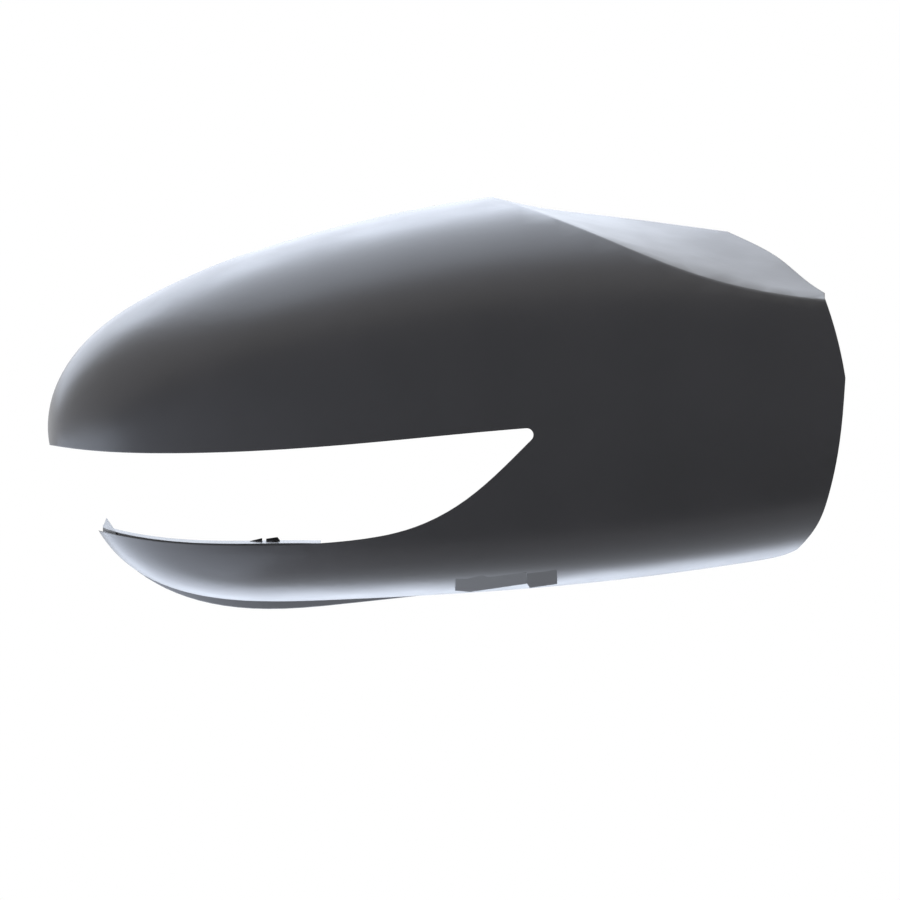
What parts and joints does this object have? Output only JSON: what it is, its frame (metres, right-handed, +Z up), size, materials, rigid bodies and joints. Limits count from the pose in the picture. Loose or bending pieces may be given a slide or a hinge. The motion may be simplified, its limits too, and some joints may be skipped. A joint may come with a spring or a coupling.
{
  "type": "wing mirror cover",
  "caption": "Moulded clip-on cap for a car door mirror: a curved shell with a lamp slot open at its outboard nose and a scooped inboard top.",
  "frame": {"origin": "on the rear rim, in the middle of the wall's thickness, at the middle of the keel", "axes": "+X inboard towards the car's door, +Y rearwards out of the open rim, +Z up as fitted to the car"},
  "size_m": [0.2393, 0.0703, 0.1236],
  "materials": {
    "primed_plastic": "dark grey primer, satin"
  },
  "bodies": {
    "root": {"mirror_cover": "primed_plastic"}
  },
  "joints": []
}
